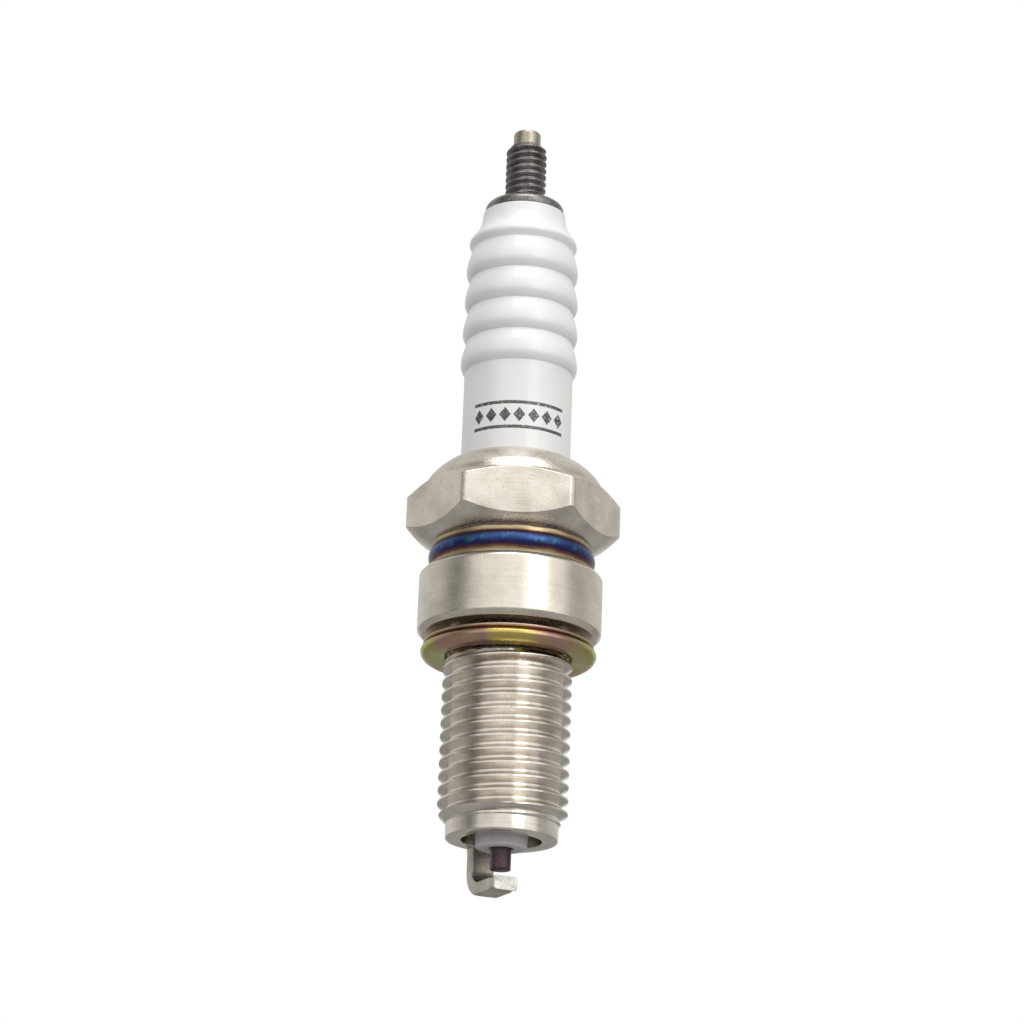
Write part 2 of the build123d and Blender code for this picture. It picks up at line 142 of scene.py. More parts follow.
# %% [markdown]
# ## A rolled thread
# A thread is a V groove on a helix. On the real plug it is rolled into the steel between two
# dies. A Screw modifier makes a helix but not its clean run-out into a plain shaft. Here each
# row of the grid climbs one pitch in a turn, and rows past the ends are pressed flat on to
# them, so the helix fades out in its chamfers and its seam closes on the next turn.

# %% Helical rows and the groove's depth
GROOVE_ANGLE = math.radians(-92.3)
FLANK = math.tan(math.radians(30))


def thread_rows(angle, pitch, depth, root_half, bottom, top, groove):
    """Heights of the rows: groove + pitch (turn + angle / 2 pi) + offset, held between bottom and top.

    The offsets are the edges of root and crest, a little to each side for their rounding.
    """
    flank_half = depth * FLANK
    soft = pitch * 0.025
    edges = np.array([root_half, root_half + flank_half])
    half = np.sort(np.concatenate([edges - soft, edges, edges + soft, [root_half + flank_half / 2]]))
    offset = np.concatenate([-half[::-1], [0], half])
    turns = np.arange(math.floor((bottom - groove) / pitch) - 2, math.ceil((top - groove) / pitch) + 3)
    start = (turns[:, None] * pitch + offset[None, :]).reshape(-1, 1)
    height = groove + start + pitch * (angle[None, :] - GROOVE_ANGLE) / (2 * math.pi)
    used = np.any(height > bottom, axis=1) & np.any(height < top, axis=1)
    ends = np.convolve(used, [1, 1, 1], "same") > 0
    return np.clip(height[ends], bottom, top)


def thread_radius(angle, height, pitch, depth, root_half, major, groove):
    """Radius = root + (distance from the groove's middle - half its flat) / tan 30, from root to major."""
    turn = (height - groove) / pitch - (angle[None, :] - GROOVE_ANGLE) / (2 * math.pi)
    distance = np.abs((turn + 0.5) % 1 - 0.5) * pitch
    rise = (distance - root_half) / FLANK
    crest_seam = 0.02 * depth * np.exp(-(((0.5 * pitch - distance) / (0.05 * pitch)) ** 2))
    return major - depth + np.clip(rise, 0, depth) - crest_seam


# %% [markdown]
# ## The shell
# The shell is cold-formed from one slug of steel, turned, threaded and plated with nickel.
# Its hexagon has corners cut round by the lathe, so the flats end in curved edges above and
# below. A boolean of a hexagon and a cone gives that shape with ragged edges. Here every
# column knows how far out its flat lies, and its profile is bent to meet the turned cones
# there, so the edge between flat and cone is one clean row.

# %% Sizes of the shell
shell_low, shell_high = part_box("shell")
reach_z = shell_low.z
lip_z = shell_high.z
flat_r = shell_high.y
corner_r = shell_high.x
collar_r = 8.5 * MM
waist_r = 7.45 * MM
bulge_r = 7.74 * MM
collar_z = 6.1 * MM
hex_z = 8.7 * MM
hex_top_z = 14.1 * MM
step_r = 8.5 * MM
lip_in_r = 5.47 * MM
bore_r = 6.6 * MM
middle_r = 4.35 * MM
end_r = 3.65 * MM
neck_r = 5.15 * MM
pilot_r = 5.125 * MM
neck_low_z = -1.82 * MM
pilot_top_z = reach_z + 1.45 * MM
thread = {"pitch": 1.25 * MM, "depth": 0.767 * MM, "root_half": 0.1 * MM, "groove": -6.07 * MM}
thread_major = 5.95 * MM
print("reach", round(-reach_z / MM, 2), "mm, hexagon", round(2 * flat_r / MM, 2), "mm across flats")

# %% Columns that crowd at the six corners
near_corner = np.radians([0, 0.6, 1.2, 1.6, 1.85, 2.1, 2.4, 3.2])
across_flat = np.linspace(near_corner[-1], math.pi / 3 - near_corner[-1], 31)[1:-1]
sector = np.concatenate([near_corner, across_flat, math.pi / 3 - near_corner[:0:-1]])
shell_angle = np.concatenate([sector + i * math.pi / 3 for i in range(6)] + [[2 * math.pi]])
from_flat = (shell_angle + math.pi / 6) % (math.pi / 3) - math.pi / 6
from_flat = math.pi / 6 - np.abs(from_flat)
blend = 0.02 * MM
hex_r = -blend * np.logaddexp(-flat_r / np.cos(from_flat) / blend, -corner_r / blend)
print(len(shell_angle), "columns, hexagon radius", np.round([hex_r.min() / MM, hex_r.max() / MM], 2))


# %% The hexagon's profile in every column
def ring(points):
    """The same profile in every column of the shell."""
    return np.repeat(points[:, None, :], len(shell_angle), axis=1)


def lower_cone(radius):
    """Height = hexagon foot + 1.65 mm times (share of the way to the corner) to the power 1.2."""
    return hex_z + 1.65 * MM * ((radius - waist_r) / (corner_r - waist_r)) ** 1.2


def upper_cone(radius):
    """Height = hexagon top - 0.9 mm (1 - (share of the way in to the step) to the power 1.2)."""
    return hex_top_z - 0.9 * MM * (1 - ((corner_r - radius) / (corner_r - step_r)) ** 1.2)


share = np.linspace(0, 1, 9)[:, None]
low_r = waist_r + (hex_r - waist_r) * share
high_r = hex_r + (step_r - hex_r) * share
wall = np.stack([
    np.concatenate([low_r, high_r]),
    np.concatenate([lower_cone(low_r), upper_cone(high_r)]),
], axis=-1)
edge_row = len(share)
flat_edges = rounded(wall[edge_row - 2:edge_row + 2], 0.09 * MM)
hexagon = np.concatenate([wall[1:edge_row - 1], flat_edges[1:-1], wall[edge_row + 1:]])

# %% The rest of the shell, from the bore up over the outside and down again
thread_z = thread_rows(shell_angle, bottom=pilot_top_z, top=neck_low_z, **thread)
thread_r = thread_radius(shell_angle, thread_z, major=thread_major, **thread)
top_chamfer = neck_r + neck_low_z - thread_z
foot_chamfer = pilot_r + thread_z - pilot_top_z
# The groove fades in from the top, which leaves the first turn plain under the gasket.
fade_top_z = neck_low_z - 0.55 * MM
fade_length = 0.5 * MM
groove_fade = np.clip((fade_top_z - thread_z) / fade_length, 0, 1)
thread_r = thread_major - (thread_major - thread_r) * groove_fade
thread_r = np.minimum(thread_r, np.minimum(top_chamfer, foot_chamfer))
threaded = np.stack([thread_r, thread_z], axis=-1)

foot = rounded(np.array([
    [end_r, reach_z + 6 * MM], [end_r, reach_z], [pilot_r - 0.12 * MM, reach_z],
    [pilot_r, reach_z + 0.12 * MM], [pilot_r, pilot_top_z - 0.02 * MM],
]), 0.1 * MM)
collar = rounded(np.array([
    [neck_r, neck_low_z + 0.02 * MM], [neck_r, 0], [collar_r - 0.45 * MM, 0], [collar_r, 0.45 * MM],
    [collar_r, collar_z - 0.45 * MM], [collar_r - 0.42 * MM, collar_z], [waist_r - 0.05 * MM, collar_z],
]), 0.16 * MM)
turn = np.linspace(0, math.pi, 19)
waist = np.stack([
    waist_r + (bulge_r - waist_r) * np.sin(turn) ** 0.8,
    np.linspace(collar_z + 0.55 * MM, hex_z - 0.42 * MM, 19),
], axis=-1)
waist = np.concatenate([[[waist_r - 0.05 * MM, collar_z + 0.1 * MM]], waist, [[waist_r, hex_z]]])
rise = np.sin(np.linspace(0, math.pi / 2, 17)[1:])
lip = np.stack([
    lip_in_r + (step_r - 0.12 * MM - lip_in_r) * (1 - rise**1.5) ** 0.8,
    hex_top_z + (lip_z - hex_top_z) * rise,
], axis=-1)
inside = np.concatenate([
    rounded(np.array([lip[-1], [5.22 * MM, lip_z - 0.06 * MM], [5.22 * MM, lip_z - 1 * MM]]), 0.2 * MM)[1:],
    profile((6.2, 15.4), (6.6, 14.3)),
    np.array([[bore_r, 4 * MM], [middle_r, 2.2 * MM], [middle_r, -6.44 * MM], [end_r, -7 * MM]]),
])
rows = np.concatenate([
    ring(foot), threaded, ring(collar), ring(waist), hexagon,
    ring(np.array([[step_r - 0.1 * MM, hex_top_z + 0.02 * MM]])), ring(lip), ring(inside),
])
shell_skin = skin("shell_skin", rows[..., 0], rows[..., 1], shell_angle[None, :])
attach(shell_skin, "plug")
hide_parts("shell")

# %% [markdown]
# ## The insulator
# The insulator is pressed alumina, turned green, fired, and glazed above the shell. Its ribs
# keep sparks from creeping down the outside. Each rib swells slowly and tucks in sharply at
# its underside, which a sine for the upper part and a cosine for the lower part give.

# %% Ribs, barrel and nose of the insulator
ceramic_low, ceramic_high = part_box("insulator")
barrel_r = 5.12 * MM
neck_top_r = 3.95 * MM
first_rib_r = 4.86 * MM
rib_top_z = 38.3 * MM
rib_pitch = 3.15 * MM
rib_depth = 0.41 * MM
rib_belly = 0.68
ribs = 4
down = np.linspace(0, 1, 25)[:-1]
bulge = np.where(
    down < rib_belly,
    np.sin(math.pi / 2 * down / rib_belly) ** 1.25,
    np.cos(math.pi / 2 * (down - rib_belly) / (1 - rib_belly)) ** 0.85,
)
way = (np.arange(ribs)[:, None] + down[None, :]).ravel()
rib_rows = np.stack([
    first_rib_r + (barrel_r - first_rib_r) * way / ribs + rib_depth * np.tile(bulge, ribs),
    rib_top_z - rib_pitch * way,
], axis=-1)
neck_rows = rounded(profile(
    (3.95, 41.9), (4.03, 41.2), (4.27, 40.4), (4.75, 39.7),
    (5.1, 39.25), (5.15, 38.9), (4.98, 38.55), (4.88, 38.34),
), 0.4 * MM)
rim = rounded(np.array([
    [2 * MM, ceramic_high.z], [neck_top_r, ceramic_high.z], neck_rows[0],
]), 0.28 * MM, steps=6)[:-1]
barrel_low_z = 11.95 * MM
barrel_rows = np.stack([
    np.full(12, barrel_r),
    np.linspace(rib_top_z - ribs * rib_pitch, barrel_low_z, 12),
], axis=-1)
nose = rounded(np.concatenate([
    profile((6.5, 11.4), (6.5, 4.3), (4.2, 2.9), (4.2, -6.2), (3.4, -6.85), (3.0, -7.75)),
    [[2.35 * MM, ceramic_low.z + 0.35 * MM], [2.35 * MM, ceramic_low.z], [1 * MM, ceramic_low.z]],
    profile((1.0, -9.6), (2.0, -9.0)),
]), 0.3 * MM, steps=5)
ceramic = np.concatenate([rim, neck_rows, rib_rows, barrel_rows, nose])
ceramic_angle = full_turn(192)
insulator_skin = skin("insulator_skin", ceramic[:, :1], ceramic[:, 1:], ceramic_angle[None, :])
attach(insulator_skin, "plug")
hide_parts("insulator")

# %% [markdown]
# ## The terminal stud
# The stud is a steel rod that runs down the bore to the glass seal. Above the ceramic it has
# a domed flange, a fine rolled thread that the cap's spring clip or nut takes, and a plain tip.
# It is the same kind of grid as the shell, with the same helical rows.

# %% The stud's dome, thread and tip
stud_low, stud_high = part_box("terminal_stud")
stud_angle = full_turn(96)
stud = {"pitch": 0.7 * MM, "depth": 0.43 * MM, "root_half": 0.05 * MM, "groove": 49.24 * MM}
stud_major = 1.95 * MM
stud_foot_z = 44.15 * MM
stud_end_z = 49.45 * MM
thread_end_r = 1.42 * MM
tip_r = 1.3 * MM
stud_z = thread_rows(stud_angle, bottom=stud_foot_z, top=stud_end_z, **stud)
stud_r = thread_radius(stud_angle, stud_z, major=stud_major, **stud)
stud_r = np.minimum(stud_r, np.minimum(1.55 * MM + stud_z - stud_foot_z, thread_end_r + stud_end_z - stud_z))
flange_z = ceramic_high.z
dome = np.linspace(0, math.pi / 2, 12)
flange = np.concatenate([
    [[3.7 * MM, flange_z], [3.75 * MM, flange_z + 0.08 * MM], [3.75 * MM, flange_z + 0.42 * MM]],
    np.stack([
        2.1 * MM + 1.65 * MM * np.cos(dome) ** 0.85,
        flange_z + 0.47 * MM + 0.86 * MM * np.sin(dome) ** 1.05,
    ], axis=-1),
    [[1.85 * MM, flange_z + 1.36 * MM], [1.5 * MM, flange_z + 1.45 * MM]],
    [[1.5 * MM, stud_foot_z - 0.05 * MM]],
])
stem = rounded(np.array([
    [0, stud_low.z], [1.8 * MM, stud_low.z], [1.8 * MM, flange_z], [3.7 * MM, flange_z],
]), 0.1 * MM)[:-1]
tip = rounded(np.array([
    [tip_r, stud_end_z + 0.03 * MM], [tip_r, stud_high.z], [0, stud_high.z],
]), 0.28 * MM, steps=6)
stud_column = np.concatenate([stem, flange])
stud_radius = np.concatenate([
    np.repeat(stud_column[:, :1], len(stud_angle), axis=1), stud_r,
    np.repeat(tip[:, :1], len(stud_angle), axis=1),
])
stud_height = np.concatenate([
    np.repeat(stud_column[:, 1:], len(stud_angle), axis=1), stud_z,
    np.repeat(tip[:, 1:], len(stud_angle), axis=1),
])
stud_skin = skin("terminal_stud_skin", stud_radius, stud_height, stud_angle[None, :], closed_profile=False)
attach(stud_skin, "plug")
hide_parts("terminal_stud")


# %% [markdown]
# ## The gasket
# The gasket is a strip of thin steel folded round on itself, which crushes once when the plug
# is first tightened. Its section is a soft loop, so a closed spline through a few points
# makes it: a thin flange on top, a dark fold line, and a fat rolled bead below.

# %% A closed spline section, carried round the axis
def smooth_loop(points, per_side):
    """A closed uniform B-spline: each span mixes four points by the cubic weights of t."""
    t = np.linspace(0, 1, per_side, endpoint=False)[:, None, None]
    weights = [(1 - t) ** 3, 3 * t**3 - 6 * t**2 + 4, -3 * t**3 + 3 * t**2 + 3 * t + 1, t**3]
    mixed = sum(w * np.roll(points, 1 - i, axis=0)[None] for i, w in enumerate(weights)) / 6
    return np.moveaxis(mixed, 0, 1).reshape(-1, points.shape[1])


gasket_low, gasket_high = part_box("gasket")
seam_z = gasket_high.z - 0.42 * MM
section = np.concatenate([
    np.array([[5.75 * MM, gasket_high.z - 0.3 * MM], [5.8 * MM, gasket_high.z + 0.02 * MM]]),
    np.array([[6.6 * MM, gasket_high.z], [7.74 * MM, gasket_high.z], [7.8 * MM, gasket_high.z]]),
    np.array([[7.9 * MM, gasket_high.z - 0.14 * MM], [7.8 * MM, gasket_high.z - 0.3 * MM]]),
    np.array([[7.4 * MM, seam_z + 0.04 * MM], [7.4 * MM, seam_z - 0.04 * MM]]),
    profile((7.87, -1.1), (8.13, -1.35), (8.09, -1.75), (7.83, -2.1), (7.4, -2.3)),
    profile((6.95, -2.36), (6.5, -2.33), (6.0, -2.2), (5.72, -1.98), (5.62, -1.6)),
])
section = smooth_loop(section, 5)
section[:, 0] = np.maximum(section[:, 0], 5.7 * MM)
section[:, 1] = np.clip(section[:, 1], gasket_low.z, gasket_high.z)
gasket_skin = skin("gasket_skin", section[:, :1], section[:, 1:], full_turn(192)[None, :])
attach(gasket_skin, "gasket")
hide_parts("gasket")

# %% [markdown]
# ## The two electrodes
# The ground electrode is a strap of nickel alloy, welded to the shell's end face, bent over
# the tip and sheared off. Its section is carried along the bend, and swells a little where
# the weld squeezed it out. The sheared end is torn and uneven, so its rows are pushed about
# by a few waves. The centre electrode is a plain rod with a slightly worn rim.

# %% The strap
strap_low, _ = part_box("ground_electrode")
strap_angle = math.radians(112.6)
strap_outer = 4.98 * MM
strap_thick = 1.28 * MM
strap_wide = 2.3 * MM
bend_r = 1.9 * MM
tip_reach = 1.2 * MM
middle_out = strap_outer - strap_thick / 2
run_z = strap_low.z + strap_thick / 2
leg_rows, bend_rows, arm_rows, cap_rows = 14, 19, 15, 5
leg = np.linspace(reach_z, run_z + bend_r, leg_rows)
bend = np.linspace(0, math.pi / 2, bend_rows + 1)[1:]
arm = np.linspace(middle_out - bend_r, -tip_reach, arm_rows + 1)[1:]
path_out = np.concatenate([np.full(leg_rows, middle_out), middle_out - bend_r * (1 - np.cos(bend)), arm])
path_z = np.concatenate([leg, run_z + bend_r * (1 - np.sin(bend)), np.full(arm_rows, run_z)])
lean = np.concatenate([np.zeros(leg_rows), bend, np.full(arm_rows, math.pi / 2)])
around = full_turn(48)
squareness = 0.24
across = np.sign(np.cos(around)) * np.abs(np.cos(around)) ** squareness * strap_thick / 2
along = np.sign(np.sin(around)) * np.abs(np.sin(around)) ** squareness * strap_wide / 2
step = np.arange(len(path_z))
swell = 1 + 0.05 * np.exp(-((leg[0] - path_z) / (0.25 * MM)) ** 2) * (step < leg_rows)
arm_length = middle_out - bend_r + tip_reach
along_arm = np.maximum(step - leg_rows - bend_rows, 0) / arm_rows * arm_length
pinch = 1 - 0.2 * np.exp(-((arm_length - along_arm - 0.85 * MM) / (0.3 * MM)) ** 2)
shrink = np.concatenate([[0, 1], np.ones(len(step) - 1), [0.95, 0.85, 0.6, 0.3, 0.0]])
pick = np.concatenate([[0], step, [step[-1]] * cap_rows])
waves = np.sin(3 * around + 0.4) + 0.6 * np.sin(7 * around) + 0.4 * np.sin(13 * around + 2)
tear = np.where(pick == step[-1], 0.012 * MM, 0)[:, None] * waves * shrink[:, None]
past_end = np.concatenate([np.zeros(len(step) + 1), np.full(cap_rows, 0.06 * MM)])
grow = (swell[pick] * shrink)[:, None]
side = across[None, :] * grow * pinch[pick][:, None]
out = path_out[pick][:, None] + side * np.cos(lean[pick])[:, None] - (tear + past_end[:, None])
up = path_z[pick][:, None] - side * np.sin(lean[pick])[:, None]
sideways = along[None, :] * grow
strap_points = np.stack([
    out * math.cos(strap_angle) - sideways * math.sin(strap_angle),
    out * math.sin(strap_angle) + sideways * math.cos(strap_angle),
    np.maximum(up, strap_low.z),
], axis=-1)
strap_skin = skin_of_points("ground_electrode_skin", strap_points, closed_profile=False)
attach(strap_skin, "plug")
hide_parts("ground_electrode")

# %% The centre electrode
rod_low, rod_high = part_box("centre_electrode")
rod = rounded(np.array([
    [0, rod_low.z], [0.94 * MM, rod_low.z], [0.94 * MM, -9.64 * MM], [1.7 * MM, -9.18 * MM],
    [1.7 * MM, rod_high.z], [0.5 * MM, rod_high.z], [0, rod_high.z],
]), 0.12 * MM, steps=5)
rod_skin = skin("centre_electrode_skin", rod[:, :1], rod[:, 1:], full_turn(72)[None, :], closed_profile=False)
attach(rod_skin, "plug")
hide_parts("centre_electrode")

# %% [markdown]
# ## Helpers for finishes
# A finish is a small net of shader nodes. These helpers keep each net short enough to read.
# Every pattern is worked out from Object coordinates, so it stays on the piece from any side.


# %% Node helpers
def add(tree, kind, inputs=None, **settings):
    """A node in tree with settings as its properties and inputs as its values or links."""
    node = tree.nodes.new(kind)
    for name, value in settings.items():
        setattr(node, name, value)
    for name, value in (inputs or {}).items():
        if isinstance(value, bpy.types.NodeSocket):
            tree.links.new(value, node.inputs[name])
        else:
            node.inputs[name].default_value = value
    return node


def maths(tree, operation, first, second=0.0, third=0.0):
    """The result of a Math node."""
    node = add(tree, "ShaderNodeMath", {0: first, 1: second, 2: third}, operation=operation)
    return node.outputs[0]


def ramp(tree, value, stops, interpolation="LINEAR"):
    """The colour of a Color Ramp whose stops are (position, colour)."""
    node = add(tree, "ShaderNodeValToRGB", {"Fac": value})
    node.color_ramp.interpolation = interpolation
    elements = node.color_ramp.elements
    while len(elements) < len(stops):
        elements.new(0.5)
    for element, (position, colour) in zip(elements, stops):
        element.position = position
        element.color = (*colour, 1)
    return node.outputs["Color"]


def mixed(tree, factor, first, second):
    """first where factor is 0 and second where it is 1, as colours."""
    node = add(tree, "ShaderNodeMix", {"Factor": factor}, data_type="RGBA")
    for socket, value in ((node.inputs[6], first), (node.inputs[7], second)):
        if isinstance(value, bpy.types.NodeSocket):
            tree.links.new(value, socket)
        else:
            socket.default_value = (*value, 1)
    return node.outputs[2]


def finish_named(name, **constants):
    """A new material with its Principled shader's plain values set, as (material, tree, shader)."""
    material = bpy.data.materials.new(name)
    material.use_nodes = True
    shader = material.node_tree.nodes["Principled BSDF"]
    for socket, value in constants.items():
        shader.inputs[socket.replace("_", " ")].default_value = value
    return material, material.node_tree, shader


def feed(tree, shader, **sources):
    """Links each source to the shader's socket of that name."""
    for socket, source in sources.items():
        tree.links.new(source, shader.inputs[socket.replace("_", " ")])


# %% [markdown]
# ## Two effects that several finishes share
# Turned steel carries fine rings from the tool, and plated or cast surfaces carry a speckle of
# grain and pits. Each effect is a node group, built once, that puts out plain values.


# %% The shared effects as node groups
def group_named(name, inputs, outputs):
    """A shader node group with those float inputs (name, value) and float outputs."""
    tree = bpy.data.node_groups.new(name, "ShaderNodeTree")
    for label, value in inputs:
        socket = tree.interface.new_socket(label, in_out="INPUT", socket_type="NodeSocketFloat")
        socket.default_value = value
    for label in outputs:
        tree.interface.new_socket(label, in_out="OUTPUT", socket_type="NodeSocketFloat")
    return tree, add(tree, "NodeGroupInput"), add(tree, "NodeGroupOutput")


turning_marks, marks_in, marks_out = group_named(
    "turning_marks", [("Rings per metre", 9000.0), ("Waver", 0.6)], ["Height"])
place = add(turning_marks, "ShaderNodeTexCoord").outputs["Object"]
axes = add(turning_marks, "ShaderNodeSeparateXYZ", {0: place}).outputs
angle_round = maths(turning_marks, "ARCTAN2", axes[1], axes[0])
radius_out = maths(turning_marks, "SQRT", maths(
    turning_marks, "MULTIPLY_ADD", axes[0], axes[0], maths(turning_marks, "MULTIPLY", axes[1], axes[1])))
rings = marks_in.outputs["Rings per metre"]
ring_place = add(turning_marks, "ShaderNodeCombineXYZ", {
    0: maths(turning_marks, "MULTIPLY", angle_round, marks_in.outputs["Waver"]),
    1: maths(turning_marks, "MULTIPLY", radius_out, rings),
    2: maths(turning_marks, "MULTIPLY", axes[2], rings),
}).outputs[0]
ring_noise = add(turning_marks, "ShaderNodeTexNoise", {"Vector": ring_place, "Scale": 1.0, "Detail": 3.0})
turning_marks.links.new(ring_noise.outputs["Fac"], marks_out.inputs["Height"])

metal_grain, grain_in, grain_out = group_named(
    "metal_grain", [("Grains per metre", 6000.0), ("Pits", 0.3)], ["Grain", "Pit", "Cloud"])
place = add(metal_grain, "ShaderNodeTexCoord").outputs["Object"]
per_metre = grain_in.outputs["Grains per metre"]
speckle = add(metal_grain, "ShaderNodeTexNoise", {"Vector": place, "Scale": per_metre, "Detail": 4.0})
cloud = add(metal_grain, "ShaderNodeTexNoise", {
    "Vector": place, "Scale": maths(metal_grain, "MULTIPLY", per_metre, 0.08), "Detail": 3.0})
cells = add(metal_grain, "ShaderNodeTexVoronoi", {
    "Vector": place, "Scale": maths(metal_grain, "MULTIPLY", per_metre, 0.35)})
pit_size = grain_in.outputs["Pits"]
pit = add(metal_grain, "ShaderNodeMapRange", {
    "Value": cells.outputs["Distance"], "From Min": maths(metal_grain, "MULTIPLY", pit_size, 0.5),
    "From Max": pit_size, "To Min": 1.0, "To Max": 0.0})
metal_grain.links.new(speckle.outputs["Fac"], grain_out.inputs["Grain"])
patches = add(metal_grain, "ShaderNodeMapRange", {
    "Value": cloud.outputs["Fac"], "From Min": 0.48, "From Max": 0.62})
gathered = maths(metal_grain, "MULTIPLY", pit.outputs[0], patches.outputs[0])
metal_grain.links.new(gathered, grain_out.inputs["Pit"])
metal_grain.links.new(cloud.outputs["Fac"], grain_out.inputs["Cloud"])
print("groups", [group.name for group in bpy.data.node_groups])


def use_group(tree, group, **values):
    """The outputs of that group, placed in tree with these input values."""
    node = tree.nodes.new("ShaderNodeGroup")
    node.node_tree = group
    for name, value in values.items():
        node.inputs[name.replace("_", " ")].default_value = value
    return node.outputs


def bump(tree, height, strength, distance):
    """A normal from a height, where distance is the real depth of the relief."""
    node = add(tree, "ShaderNodeBump", {"Height": height, "Strength": strength, "Distance": distance})
    return node.outputs["Normal"]


# %% [markdown]
# ## Nickel plate on steel
# Dull nickel follows the steel below it, so its shine is soft and warm, with rings from the
# lathe and a fine sparkle of grain. The same recipe serves the hexagon, the collar and the
# thread, with more grain on the hexagon's cold-formed flats than on turned faces.


# %% Nickel finishes
def nickel(name, dark, light, roughness, marks, grain_depth, rings=9000.0):
    """Plated steel between two colours, with turned rings of strength marks and grain of grain_depth."""
    material, tree, shader = finish_named(name, Metallic=1.0)
    ring_height = use_group(tree, turning_marks, Rings_per_metre=rings, Waver=0.8)["Height"]
    grain = use_group(tree, metal_grain, Grains_per_metre=5200.0, Pits=0.22)
    tone = maths(tree, "MULTIPLY_ADD", grain["Cloud"], 0.75, maths(tree, "MULTIPLY", ring_height, 0.35))
    plate = ramp(tree, tone, [(0.32, dark), (0.7, light)])
    stained = mixed(tree, maths(tree, "MULTIPLY", grain["Pit"], 0.35), plate, (0.16, 0.13, 0.1))
    rough = maths(tree, "MULTIPLY_ADD", grain["Grain"], 0.16, roughness - 0.08)
    fine = maths(tree, "MULTIPLY", grain["Grain"], grain_depth)
    relief = maths(tree, "MULTIPLY_ADD", ring_height, marks, fine)
    relief = maths(tree, "SUBTRACT", relief, maths(tree, "MULTIPLY", grain["Pit"], 0.35 * grain_depth))
    feed(tree, shader, Base_Color=stained, Roughness=rough, Normal=bump(tree, relief, 1.0, 0.02 * MM))
    return material


turned_nickel = nickel("turned_nickel", (0.56, 0.52, 0.44), (0.78, 0.73, 0.64), 0.25, 0.25, 0.35)
formed_nickel = nickel("formed_nickel", (0.52, 0.48, 0.41), (0.8, 0.75, 0.67), 0.25, 0.15, 1.0)
thread_nickel = nickel("thread_nickel", (0.53, 0.49, 0.43), (0.79, 0.75, 0.69), 0.18, 0.3, 0.25, 5000.0)

# %% [markdown]
# ## The heat-shrunk waist
# The shell is closed over the insulator by passing a current through its thin waist while it
# is pressed. The waist glows, upsets into a soft bulge and keeps the colours of tempering: straw at
# its cooler edges, then brown and purple, and deep blue where it was hottest. Its two very ends,
# in the creases against the collar and the hexagon, are painted dark brown as shade.

# %% Tempering colours by height, with painted shade at both ends
tempered_and_crease_shaded, tree, shader = finish_named("tempered_waist_with_crease_shade", Metallic=1.0)
place = add(tree, "ShaderNodeTexCoord").outputs["Object"]
height = add(tree, "ShaderNodeSeparateXYZ", {0: place}).outputs[2]
mottle = add(tree, "ShaderNodeTexNoise", {"Vector": place, "Scale": 420.0, "Detail": 4.0}).outputs["Fac"]
wander = maths(tree, "MULTIPLY_ADD", mottle, 0.5 * MM, height)
share_up = add(tree, "ShaderNodeMapRange", {
    "Value": wander, "From Min": collar_z + 0.25 * MM, "From Max": hex_z + 0.25 * MM}).outputs[0]
# Painted shade: the dark brown first and last stops darken the waist's two ends, in the creases against the
# collar and the hexagon. The stops between them are the colours of tempering.
temper_with_crease_shade = ramp(tree, share_up, [
    (0.0, (0.12, 0.1, 0.07)), (0.05, (0.46, 0.4, 0.28)), (0.16, (0.5, 0.39, 0.22)), (0.24, (0.22, 0.1, 0.07)),
    (0.32, (0.06, 0.035, 0.1)), (0.44, (0.025, 0.045, 0.15)), (0.62, (0.05, 0.1, 0.26)),
    (0.76, (0.07, 0.045, 0.13)), (0.84, (0.28, 0.15, 0.08)), (0.91, (0.5, 0.39, 0.22)),
    (0.96, (0.5, 0.43, 0.3)), (1.0, (0.14, 0.12, 0.08)),
], "EASE")
teal = add(tree, "ShaderNodeTexNoise", {"Vector": place, "Scale": 900.0, "Detail": 5.0}).outputs["Fac"]
teal_mask = add(tree, "ShaderNodeMapRange", {"Value": teal, "From Min": 0.55, "From Max": 0.72}).outputs[0]
in_blue = ramp(tree, share_up, [(0.36, (0, 0, 0)), (0.46, (1, 1, 1)), (0.66, (1, 1, 1)), (0.74, (0, 0, 0))])
spotted = mixed(tree, maths(tree, "MULTIPLY", teal_mask, in_blue), temper_with_crease_shade, (0.08, 0.24, 0.32))
grain = use_group(tree, metal_grain, Grains_per_metre=5000.0, Pits=0.2)
feed(tree, shader, Base_Color=spotted, Roughness=maths(tree, "MULTIPLY_ADD", grain["Grain"], 0.2, 0.2),
     Normal=bump(tree, grain["Grain"], 0.6, 0.02 * MM))


# %% Faces of the shell by finish
def paint(piece, *bands, along=(0, 0, 1)):
    """Gives each face the material of the last band (lowest distance along, material) that it reaches."""
    mesh = piece.data
    centre = np.empty(len(mesh.polygons) * 3, np.float32)
    mesh.polygons.foreach_get("center", centre)
    floor = np.array([band[0] for band in bands])
    reached = centre.reshape(-1, 3) @ np.array(along)
    chosen = np.maximum(np.searchsorted(floor, reached, side="right") - 1, 0)
    for band in bands:
        mesh.materials.append(band[1])
    mesh.polygons.foreach_set("material_index", chosen.astype(np.int32))
    print(piece.name, "faces by finish", np.bincount(chosen))


paint(shell_skin, (-1, thread_nickel), (-0.05 * MM, turned_nickel), (collar_z + 0.02 * MM, tempered_and_crease_shaded),
      (hex_z + 0.02 * MM, formed_nickel))

# %% [markdown]
# ## Glaze and bare ceramic
# The glaze is a thin clear glass over white alumina, so it is a white body under a smooth
# coat. A generic printed mark runs round the front of the barrel. The nose inside the shell
# is left unglazed and takes a faint lilac grey from the first firings.

